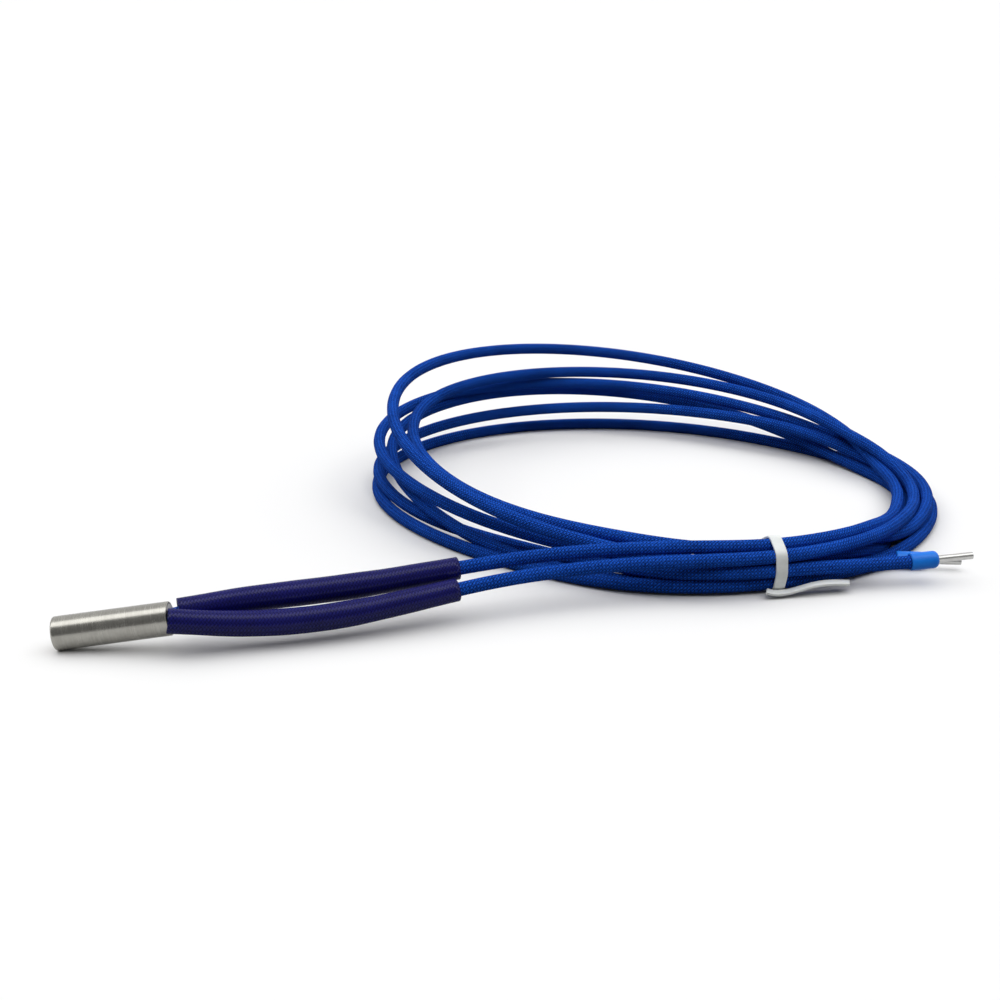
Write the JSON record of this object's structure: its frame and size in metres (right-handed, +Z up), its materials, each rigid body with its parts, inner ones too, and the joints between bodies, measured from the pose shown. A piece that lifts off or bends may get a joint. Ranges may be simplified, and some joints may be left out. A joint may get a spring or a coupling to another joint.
{
  "type": "cartridge heater",
  "caption": "Short round cartridge heater with braided leads that are coiled, held by a strap and ended in ferrules.",
  "frame": {"origin": "bottom centre of the cartridge's box, on the surface that it lies on", "axes": "+X along the cartridge from its closed end to its leads, +Y away to the coil's far side, +Z up"},
  "size_m": [0.1746, 0.158, 0.0192],
  "materials": {
    "stainless": "ground, with a satin sheen",
    "weld_disc": "turned and welded",
    "ceramic": "unglazed",
    "resistance_alloy": "drawn and dull",
    "magnesia": "packed powder",
    "nickel": "plain drawn",
    "cement": "matt cast",
    "sleeving": "braided and varnished",
    "braid": "fine braid over the wire",
    "collar": "moulded",
    "tinned_copper": "tinned",
    "strap": "soft and slightly clear"
  },
  "bodies": {
    "root": {"sheath": "stainless", "end_disc": "weld_disc", "ceramic_core": "ceramic", "resistance_wire": "resistance_alloy", "magnesia_fill": "magnesia", "long_terminal_pin": "nickel", "short_terminal_pin": "nickel", "lead_seal": "cement", "rear_sleeve": "sleeving", "front_sleeve": "sleeving", "rear_lead": "braid", "front_lead": "braid", "rear_lead_coil": "braid", "front_lead_coil": "braid", "rear_lead_tail": "braid", "front_lead_tail": "braid", "rear_lead_collar": "collar", "front_lead_collar": "collar", "rear_lead_ferrule": "tinned_copper", "front_lead_ferrule": "tinned_copper", "bundle_strap": "strap"}
  },
  "joints": []
}
